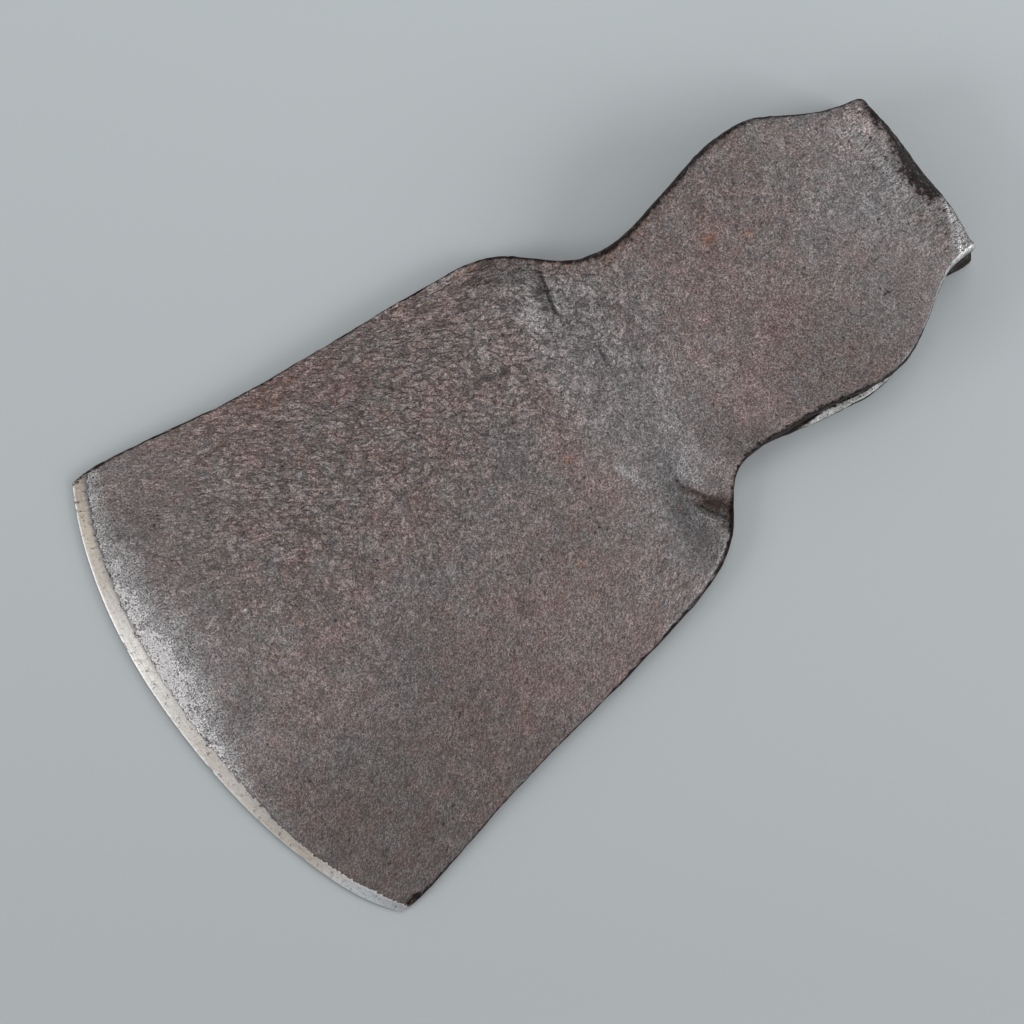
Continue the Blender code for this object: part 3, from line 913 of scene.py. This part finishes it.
# %% [markdown]
# ## Clouds of many sizes
#
# Rust grows in patches inside patches. We make one noise for each size that the eye can tell
# apart on the real skin, from the crystals of scale to stains as wide as a thumb. The crystals
# are about 0.1 mm and would vanish at this distance, so they are drawn at 0.45 mm. The noises
# named in FOLDED follow the wrinkles of the skin instead of lying straight.

# %% Add the clouds
CLOUDS = (  # name, size in mm, detail, roughness
    ("crystals", 0.45, 1.0, 0.6),
    ("pits", 0.8, 1.0, 0.6),
    ("crumbs", 1.6, 2.0, 0.6),
    ("web", 1.05, 2.0, 0.6),
    ("wrinkles", 2.6, 2.0, 0.55),
    ("blotches", 4.5, 1.0, 0.5),
    ("reds", 6.0, 3.0, 0.6),
    ("stains", 13.0, 3.0, 0.6),
    ("brushed", 0.7, 2.0, 0.6),
)
FOLDED = ("crumbs", "web", "wrinkles")
STRETCH = {  # less than 1 makes the grains longer along that axis
    "crumbs": (1.0, 0.9, 1.0), "web": (1.0, 0.9, 1.0), "wrinkles": (1.0, 0.9, 1.0),
    "brushed": (0.25, 1.0, 1.0),
}
APART = 30.0  # mm: each noise is taken from another place, so that no two look alike
clouds = {}
for number, (name, size, detail, rough) in enumerate(CLOUDS):
    moved = add_node(tree, "Mapping", {
        "Vector": in_folds if name in FOLDED else in_mm,
        "Location": [APART * number] * 3,
        "Scale": STRETCH.get(name, (1.0, 1.0, 1.0)),
    })
    clouds[name] = add_node(tree, "TexNoise", {
        "Vector": moved, "Scale": 1.0 / size, "Detail": detail, "Roughness": rough,
    })
NOISE_RANGE = {"From Min": 0.3, "From Max": 0.7}  # most of a noise lies between these values
print("clouds from", min(row[1] for row in CLOUDS), "to", max(row[1] for row in CLOUDS), "mm")

# %% [markdown]
# ## Creases and ridges
#
# A smooth noise passes through its middle value along thin winding lines. The distance from
# that middle is therefore 0 on a web of lines and grows between them: it makes the creases
# between the pebbles, and, turned round, the ridges of the finer web, which are partly rubbed
# and partly painted highlights. The pebbles are kept to where the mesh is wrinkled.

# %% Find the lines
RIDGE_REACH = 0.07  # a ridge fades out this far from the middle value
CREASE_REACH = 0.09
away = {}
for name in ("web", "wrinkles"):
    centred = add_node(tree, "Math", {0: clouds[name], 1: 0.5}, operation="SUBTRACT")
    away[name] = add_node(tree, "Math", {0: centred}, operation="ABSOLUTE")
ridge = add_node(tree, "MapRange", {
    "Value": away["web"], "From Min": 0.0, "From Max": RIDGE_REACH, "To Min": 1.0, "To Max": 0.0,
})
pebble = add_node(tree, "MapRange", {
    "Value": away["wrinkles"], "From Min": 0.0, "From Max": CREASE_REACH,
})
flat = add_node(tree, "Math", {0: 1.0, 1: maps["wrinkled"]}, operation="SUBTRACT")
pebble = add_node(tree, "Math", {0: pebble, 1: flat}, operation="MAXIMUM")
print("creases and ridges,", len(tree.nodes), "nodes")

# %% [markdown]
# ## Brown-grey skin
#
# Oiled rust is brown, mill scale is a cold grey, and the two mix in patches. Each layer is one
# Mix node that lays a colour over what is below it. The share of the first three comes from a
# cloud, and that of the next three from a map: the grey areas with their painted sheen, the red
# ones, and the rubbed ones with their painted highlights. The fine ridges are paler, partly
# because they are the first to be rubbed and partly as a painted highlight.

# %% Lay the colours of the skin
skin = colour("#6e605d")
for name, start, stop, most, code in (  # where a layer starts, where it is full, and its most
    ("stains", 0.38, 0.62, 1.0, "#6a6665"),
    ("reds", 0.48, 0.66, 0.55, "#775853"),
    ("crumbs", 0.60, 0.38, 0.30, "#765b4b"),
    ("grey_and_sheen", 0.0, 1.0, 0.75, "#646465"),
    ("redder", 0.0, 1.0, 0.50, "#7b5b55"),
    ("rubbed_and_lit", 0.0, 1.0, 1.0, "#8c898a"),
):
    pattern = maps.get(name) or clouds[name]
    share = add_node(tree, "MapRange", {
        "Value": pattern, "From Min": start, "From Max": stop, "To Min": 0.0, "To Max": most,
    })
    skin = add_node(tree, "Mix", {0: share, 6: skin, 7: colour(code)}, 2, data_type="RGBA")
RIDGE_SHARE = 0.4
# the fine ridges are paler: rubbed, and a painted highlight
pale_and_lit = add_node(tree, "Math", {0: ridge, 1: RIDGE_SHARE}, operation="MULTIPLY")
skin = add_node(tree, "Mix", {0: pale_and_lit, 6: skin, 7: colour("#8a8588")}, 2, data_type="RGBA")
print("skin colours,", len(tree.nodes), "nodes")

# %% [markdown]
# ## Spots of rust
#
# Fresh rust is orange. It sits in a few spots, and as a tint in the creases near the left flank.

# %% Add rust
rusty = add_node(tree, "MapRange", {"Value": clouds["pits"], "From Min": 0.40, "From Max": 0.60})
rusty = add_node(tree, "Math", {0: rusty, 1: maps["rust"]}, operation="MULTIPLY")
skin = add_node(tree, "Mix", {0: rusty, 6: skin, 7: colour("#8d5a3d")}, 2, data_type="RGBA")
print("rust,", len(tree.nodes), "nodes")

# %% [markdown]
# ## Light and dark grains
#
# The finer clouds also make the skin lighter or darker, partly because its high places were
# rubbed and its low places hold dirt, and partly as painted glints on the grains and painted
# shade between them. The broad tone, with its painted light and shade, and the creases, with
# their dirt and painted shade, do the same. We multiply the shares of all of them, and then the
# colour by the result.

# %% Shade the grains
light = 1.0
for pattern, start, stop, dark, bright in (  # its share goes from dark to bright
    # the bright ends of the crystals and the ridges are partly painted glints
    (clouds["crystals"], 0.3, 0.7, 0.40, 1.63),
    (clouds["crumbs"], 0.3, 0.7, 0.82, 1.20),
    (clouds["blotches"], 0.3, 0.7, 0.86, 1.14),
    (ridge, 0.0, 1.0, 0.80, 1.52),
    (maps["tone_and_shade"], 0.0, 1.0, 0.0, 1.0),
    # the creases between the pebbles darken partly as painted shade
    (pebble, 0.0, 1.0, 0.47, 1.08),
    (maps["crease_dirt_and_shade"], 0.0, 0.25, 1.1, 0.55),
    (maps["wrinkled"], 0.15, 0.9, 0.90, 1.10),
):
    share = add_node(tree, "MapRange", {
        "Value": pattern, "From Min": start, "From Max": stop, "To Min": dark, "To Max": bright,
    }, clamp=False)
    light = add_node(tree, "Math", {0: light, 1: share}, operation="MULTIPLY")

# %% [markdown]
# ## Brushed streaks
#
# The end of the poll was filed or brushed along the head. A noise that is four times longer
# along the head than across makes the streaks, and the map `streaked` keeps them to the poll.
# They go up and down around 1. Here they multiply the colour, and further on they also draw
# out the edges of the wear and of the grime and painted shade.

# %% Brush the poll
BRUSHED = 0.8  # how far the streaks go to either side of 1
DARKEST = 0.15  # of its colour is left of the skin in the deepest crease
brushed = add_node(tree, "MapRange", {
    "Value": clouds["brushed"], **NOISE_RANGE, "To Min": -BRUSHED, "To Max": BRUSHED,
}, clamp=False)
brushed = add_node(tree, "Math", {0: brushed, 1: maps["streaked"]}, operation="MULTIPLY")
brushed = add_node(tree, "Math", {0: brushed, 1: 1.0})
light = add_node(tree, "Math", {0: light, 1: brushed}, operation="MULTIPLY")
light = add_node(tree, "Math", {0: light, 1: DARKEST}, operation="MAXIMUM")
skin = add_node(tree, "VectorMath", {0: skin, "Scale": light}, operation="SCALE")
print("grains and streaks,", len(tree.nodes), "nodes")

# %% [markdown]
# ## Bare steel behind the bevel
#
# Honing and use wore the skin away behind the bevel. What is left there is pale steel, sprinkled
# with the dark bottoms of pits. Where the rub is weaker, only the tops of the grains are bare:
# multiplying the rub by three clouds and the streaks before we cut it off gives both at once. The
# painted highlights stored with the rub turn pale in the same way.

# %% Wear the skin through, and pale the painted highlights
BARE_FROM, BARE_FULL = 0.42, 1.3  # wear at which steel begins to show, and shows fully
wear_and_lit = maps["rubbed_and_lit"]
for name, low_end, high_end in (
    ("crystals", 0.45, 1.55), ("crumbs", 0.55, 1.45), ("blotches", 0.75, 1.25),
):
    share = add_node(tree, "MapRange", {
        "Value": clouds[name], **NOISE_RANGE, "To Min": low_end, "To Max": high_end,
    }, clamp=False)
    wear_and_lit = add_node(tree, "Math", {0: wear_and_lit, 1: share}, operation="MULTIPLY")
wear_and_lit = add_node(tree, "Math", {0: wear_and_lit, 1: brushed}, operation="MULTIPLY")
# bare steel, and the painted highlights that take its pale colour
bare_and_lit = add_node(tree, "MapRange", {"Value": wear_and_lit, "From Min": BARE_FROM, "From Max": BARE_FULL})
gleam = add_node(tree, "MapRange", {
    "Value": clouds["crystals"], **NOISE_RANGE, "To Min": 0.75, "To Max": 1.25,
}, clamp=False)
silver = add_node(tree, "VectorMath", {0: colour("#d3d1d1")[:3], "Scale": gleam}, operation="SCALE")
skin = add_node(tree, "Mix", {0: bare_and_lit, 6: skin, 7: silver}, 2, data_type="RGBA")
print("bare steel,", len(tree.nodes), "nodes")

# %% [markdown]
# ## Ground bevel
#
# The bevel was ground on a wheel and honed by hand. The attribute `bevel_place` is 0 at the
# cutting edge and 1 at the bevel's inner line, so the ground steel is where it is below 1. A
# little noise makes that border ragged.

# %% Find the ground steel
RAGGED = 0.13  # of the bevel's width, to either side
BORDER = 0.03  # the border is soft over this share, to either side
ragged = add_node(tree, "MapRange", {
    "Value": clouds["crumbs"], **NOISE_RANGE, "To Min": -RAGGED, "To Max": RAGGED,
}, clamp=False)
bevel_place = add_node(tree, "Math", {0: maps["bevel_place"], 1: ragged})
ground = add_node(tree, "MapRange", {
    "Value": bevel_place, "From Min": 1.0 - BORDER, "From Max": 1.0 + BORDER,
    "To Min": 1.0, "To Max": 0.0,
})

# %% [markdown]
# ## Colour of the ground steel
#
# At the right corner the steel is a clean blue-grey, beside it pale, and tan from there to the
# left corner, where it is stained. A Color Ramp holds these colours, each at its place along
# the edge, which is easier to change than a chain of Mix nodes. Long grinding streaks and pits
# shade them.

# %% Colour the ground steel
STEEL = (  # across in mm, colour of the steel
    (-76.0, "#a4a7aa"), (-67.0, "#b4babf"), (-59.0, "#c2c1c0"), (-50.0, "#b3aba0"),
    (-35.0, "#aea8a1"), (-20.0, "#b6b1ac"), (-8.0, "#ada7a1"), (12.0, "#aba8a5"),
    (25.0, "#b2afab"), (40.0, "#9c9895"), (50.0, "#908a82"), (62.0, "#978e83"),
    (76.0, "#91867a"),
)
REACH = 80.0  # the ramp runs from this far on the right to this far on the left
sideways_place = add_node(tree, "SeparateXYZ", {"Vector": in_mm}, output="Y")
ramp_place = add_node(tree, "MapRange", {
    "Value": sideways_place, "From Min": -REACH, "From Max": REACH,
})
steel = add_node(tree, "ValToRGB", {"Fac": ramp_place})
ramp = steel.node.color_ramp
for number, (stop, code) in enumerate(STEEL):
    element = ramp.elements[number] if number < 2 else ramp.elements.new(1.0)
    element.position = (stop + REACH) / (2.0 * REACH)
    element.color = colour(code)
print("steel has", len(STEEL), "colours")

# %% Streak and shade the ground steel
STREAKS_ACROSS = 14.0  # streaks over the bevel's width
STREAKS_ALONG = 0.12  # streaks per mm of the edge, so each is about 8 mm long
streaks = add_node(tree, "CombineXYZ", {"X": maps["bevel_place"], "Y": sideways_place})
streaks = add_node(tree, "Mapping", {
    "Vector": streaks, "Scale": (STREAKS_ACROSS, STREAKS_ALONG, 1.0),
})
streaks = add_node(tree, "TexNoise", {
    "Vector": streaks, "Scale": 1.0, "Detail": 3.0, "Roughness": 0.7,
})
for pattern, start, stop, outer, inner in (  # its share goes from outer to inner
    (streaks, 0.3, 0.7, 0.82, 1.19),
    (clouds["pits"], 0.3, 0.7, 0.90, 1.10),
    (maps["bevel_place"], 0.0, 1.0, 1.12, 0.90),
):
    share = add_node(tree, "MapRange", {
        "Value": pattern, "From Min": start, "From Max": stop, "To Min": outer, "To Max": inner,
    }, clamp=False)
    steel = add_node(tree, "VectorMath", {0: steel, "Scale": share}, operation="SCALE")
print("ground steel,", len(tree.nodes), "nodes")

# %% [markdown]
# ## Strips along the bevel
#
# Two strips run along the inner line: a dull grey one on the left, where the stone ran out,
# and a pale rim on the right, where the steel was burnished. The outermost line of the edge was
# honed last and is brighter, partly as a painted highlight where the sharp edge catches the
# light, most of all in the middle and on the left.

# %% Lay the strips and the honed, lit line
for start, stop, here_from, here_to, most, code in (  # place on the bevel, place across in mm
    (0.62, 0.84, 42.0, 60.0, 0.85, "#6b686a"),
    (0.80, 0.88, -40.0, -55.0, 0.6, "#e2dbd2"),
):
    strip = add_node(tree, "MapRange", {"Value": bevel_place, "From Min": start, "From Max": stop})
    here = add_node(tree, "MapRange", {
        "Value": sideways_place, "From Min": here_from, "From Max": here_to, "To Max": most,
    })
    strip = add_node(tree, "Math", {0: strip, 1: here}, operation="MULTIPLY")
    steel = add_node(tree, "Mix", {0: strip, 6: steel, 7: colour(code)}, 2, data_type="RGBA")
# painted highlight on the honed edge, partly polish: strongest in the middle and on the left
honed_and_lit_here = add_node(tree, "MapRange", {
    "Value": sideways_place, "From Min": -60.0, "From Max": -10.0, "To Min": 0.3, "To Max": 1.0,
})
honed_and_lit = add_node(tree, "MapRange", {
    "Value": maps["bevel_place"], "From Min": 0.05, "From Max": 0.15,
    "To Min": honed_and_lit_here, "To Max": 0.0,
})
steel = add_node(tree, "Mix", {0: honed_and_lit, 6: steel, 7: colour("#cbcac8")}, 2, data_type="RGBA")
skin = add_node(tree, "Mix", {0: ground, 6: skin, 7: steel}, 2, data_type="RGBA")
print("bevel,", len(tree.nodes), "nodes")

# %% [markdown]
# ## Pits along the inner line
#
# The grinding stopped where the old surface still had pits, so dark pits crowd along the inner
# line. They are the high places of a cloud that is lowered on both sides of the line.

# %% Pit the inner line
PIT_FROM, PIT_FULL = 0.54, 0.62  # the cloud's height at which a pit begins, and is full
inner_line = add_node(tree, "MapRange", {
    "Value": bevel_place, "From Min": 0.78, "From Max": 1.0, "To Min": -0.23, "To Max": 0.02,
})
outside = add_node(tree, "MapRange", {
    "Value": bevel_place, "From Min": 1.02, "From Max": 1.15, "To Min": 0.0, "To Max": -0.2,
})
pitted = add_node(tree, "Math", {0: inner_line, 1: outside})
pitted = add_node(tree, "Math", {0: clouds["pits"], 1: pitted})
pitted = add_node(tree, "MapRange", {
    "Value": pitted, "From Min": PIT_FROM, "From Max": PIT_FULL, "To Min": 0.0, "To Max": 0.8,
})
skin = add_node(tree, "Mix", {0: pitted, 6: skin, 7: colour("#4a423d")}, 2, data_type="RGBA")
print("pits,", len(tree.nodes), "nodes")

# %% [markdown]
# ## Grime and painted shade
#
# Old oil and soot turned black wherever no hand rubs, and black is also laid as painted shade:
# on the flanks and in the folds, where it is both, on the forged crescent of the poll, and inside
# the eye and beside the lower cheek, where it is painted shade. Two clouds and the brushed
# streaks fray its border, and a little rust shows in it.

# %% Lay the grime and the painted shade
GRIME_AND_SHADE_FROM, GRIME_AND_SHADE_FULL, GRIME_AND_SHADE_MOST = 0.3, 0.9, 0.95
frayed = maps["grime_and_shade"]
for name, reach in (("crystals", 0.35), ("crumbs", 0.55)):
    fray = add_node(tree, "MapRange", {
        "Value": clouds[name], **NOISE_RANGE, "To Min": -reach, "To Max": reach,
    }, clamp=False)
    frayed = add_node(tree, "Math", {0: frayed, 1: fray})
drawn = add_node(tree, "Math", {0: brushed, 1: 1.0}, operation="SUBTRACT")
frayed = add_node(tree, "Math", {0: frayed, 1: drawn})
# grime and painted shade share one black
dirt_and_shade = add_node(tree, "MapRange", {
    "Value": frayed, "From Min": GRIME_AND_SHADE_FROM, "From Max": GRIME_AND_SHADE_FULL,
    "To Min": 0.0, "To Max": GRIME_AND_SHADE_MOST,
})
red_dirt = add_node(tree, "MapRange", {
    "Value": clouds["brushed"], "From Min": 0.45, "From Max": 0.65,
})
# the black of the crust, also used for painted shade
crust_and_shade = add_node(tree, "Mix", {
    0: red_dirt, 6: colour("#130d0c"), 7: colour("#3a2926"),
}, 2, data_type="RGBA")
skin = add_node(tree, "Mix", {0: dirt_and_shade, 6: skin, 7: crust_and_shade}, 2, data_type="RGBA")
tree.links.new(skin, shader.inputs["Base Color"])
print("grime,", len(tree.nodes), "nodes")

# %% [markdown]
# ## Gloss
#
# Rust is not a metal and scatters light, so Metallic is 0 on the skin. It rises where steel
# shows, but not to 1, because the steel is matt and stained and never a mirror. The black on
# the flanks, partly forge scale and partly painted shade, gets the dark metallic sheen of scale
# and is duller than the oiled skin.

# %% Metallic and roughness
SCALE_METAL = 0.85
SKIN_ROUGHNESS, SCALE_ROUGHER, STEEL_ROUGHNESS = 0.42, 0.25, 0.36
clean = add_node(tree, "Math", {0: 1.0, 1: dirt_and_shade}, operation="SUBTRACT")
metal = 0.0
shine = 0.0
for share, how_metal in ((bare_and_lit, 0.5), (ground, 0.35)):  # the worn and the ground steel
    shine = add_node(tree, "Math", {0: shine, 1: share}, operation="MAXIMUM")
    steel_share = add_node(tree, "Math", {0: share, 1: how_metal}, operation="MULTIPLY")
    metal = add_node(tree, "Math", {0: metal, 1: steel_share}, operation="MAXIMUM")
metal = add_node(tree, "Math", {0: metal, 1: clean}, operation="MULTIPLY")
scale_metal = add_node(tree, "Math", {0: dirt_and_shade, 1: SCALE_METAL}, operation="MULTIPLY")
metal = add_node(tree, "Math", {0: metal, 1: scale_metal}, operation="MAXIMUM")
tree.links.new(metal, shader.inputs["Metallic"])
dull = add_node(tree, "Math", {0: dirt_and_shade, 1: SCALE_ROUGHER}, operation="MULTIPLY")
dull = add_node(tree, "Math", {0: dull, 1: SKIN_ROUGHNESS})
gloss = add_node(tree, "MapRange", {"Value": shine, "To Min": dull, "To Max": STEEL_ROUGHNESS})
tree.links.new(gloss, shader.inputs["Roughness"])
print("gloss,", len(tree.nodes), "nodes")

# %% [markdown]
# ## Fine relief
#
# The mesh carries the relief down to about a millimetre. What is finer comes from a Bump node:
# its height is in millimetres, because its Distance is one millimetre. The ground bevel and
# the bare steel are smoother than the skin.

# %% Fine bump
RELIEF = (  # pattern and its height in mm
    (clouds["crystals"], 0.22),
    (clouds["crumbs"], 0.70),
    (pebble, 0.32),
    (ridge, 0.06),
)
SMOOTHED = 0.3  # of the relief is left where steel shows
relief = 0.0
for pattern, high_mm in RELIEF:
    layer = add_node(tree, "Math", {0: pattern, 1: high_mm}, operation="MULTIPLY")
    relief = add_node(tree, "Math", {0: relief, 1: layer})
for share in (shine, ground):  # the ground bevel is in both, and so is the smoothest
    smoothing = add_node(tree, "MapRange", {"Value": share, "To Min": 1.0, "To Max": SMOOTHED})
    relief = add_node(tree, "Math", {0: relief, 1: smoothing}, operation="MULTIPLY")
bump = add_node(tree, "Bump", {"Height": relief, "Distance": MM, "Strength": 1.0})
tree.links.new(bump, shader.inputs["Normal"])
print("relief,", len(tree.nodes), "nodes in all")

# %% [markdown]
# ## Put the finish on the head
#
# The faces are shaded as one smooth surface, but where two of them meet at more than 50
# degrees, as at the rims of the eye, the edge between them stays hard.

# %% Finish the head
HARD_EDGE = math.radians(50)
head.data.materials.append(iron)
make_active(head)
bpy.ops.object.shade_smooth_by_angle(angle=HARD_EDGE)
print(head.name, "has", len(head.data.vertices), "points")

# %% [markdown]
# ## Table
#
# The head lies on a plain table of matt grey-blue paint. Its colour is made a little lighter to
# one side, as a painted fall-off of the light. The table is a stage and no part of the head. It is
# larger than any view of it, and lies a hair lower than the flat back, because two faces in one
# plane flicker.

# %% Table
TABLE_SIZE = 6.0  # metres
TABLE_GAP = 0.05 * MM
# painted light: the table's colour is made lighter towards this side, where more light falls
LIGHT_SIDE = (0.609, 0.793, 0.0)  # the direction in which the table gets lighter
LIGHT_FADE = 0.15  # metres from the middle to where it is lightest or darkest
PAINT_ROUGHNESS = 0.7
bpy.ops.object.select_all(action="DESELECT")
bpy.ops.mesh.primitive_plane_add(size=TABLE_SIZE, location=(0.0, 0.0, -TABLE_GAP))
table = bpy.context.object
table.name = "table"
paint = bpy.data.materials.new("matt_table_paint")
paint.use_nodes = True
paint_tree = paint.node_tree
paint_place = add_node(paint_tree, "TexCoord", output="Object")
farther = add_node(paint_tree, "VectorMath", {
    0: paint_place, 1: LIGHT_SIDE,
}, output="Value", operation="DOT_PRODUCT")
light_fade = add_node(paint_tree, "MapRange", {"Value": farther, "From Min": -LIGHT_FADE, "From Max": LIGHT_FADE})
# painted light: the paint goes from darker to lighter across the table
painted_light_tint = add_node(paint_tree, "Mix", {
    0: light_fade, 6: colour("#aeb4b6"), 7: colour("#b9c0c3"),
}, 2, data_type="RGBA")
paint_tree.links.new(painted_light_tint, paint_tree.nodes["Principled BSDF"].inputs["Base Color"])
paint_tree.nodes["Principled BSDF"].inputs["Roughness"].default_value = PAINT_ROUGHNESS
table.data.materials.append(paint)
print("table", TABLE_SIZE, "m square")

# %% [markdown]
# ## Light
#
# The light is soft and comes from all round, as in a tent of white cloth. One softbox hangs
# overhead, the strongest stands on the right, and a third on the left. Softboxes are square
# lamps, which throw softer shadows than points do. The two at the sides shine at a slant, which
# brings out the relief. The view is set to Standard, which shows each colour as it is.

# %% Light from all round
ALL_ROUND = 0.42
bpy.context.scene.view_settings.view_transform = "Standard"
world = bpy.data.worlds.new("studio")
bpy.context.scene.world = world
world.use_nodes = True
background = world.node_tree.nodes["Background"]
background.inputs["Color"].default_value = colour("#ffffff")
background.inputs["Strength"].default_value = ALL_ROUND
print("light from all round", ALL_ROUND)


# %% Softboxes
def softbox(name, place, size, power):
    """A square lamp that shines on the middle of the head; in metres and watts."""
    data = bpy.data.lights.new(name, "AREA")
    data.shape = "SQUARE"
    data.size = size
    data.energy = power
    lamp = bpy.data.objects.new(name, data)
    bpy.context.scene.collection.objects.link(lamp)
    lamp.location = place
    lamp.rotation_euler = (-Vector(place)).to_track_quat("-Z", "Y").to_euler()
    print(name, "softbox", power, "W")


softbox("overhead", (0.51, 0.32, 1.48), 0.74, 5.5)
softbox("right", (1.05, -0.91, 0.80), 0.80, 10.5)
softbox("left", (-1.25, 0.38, 0.92), 0.74, 6.5)
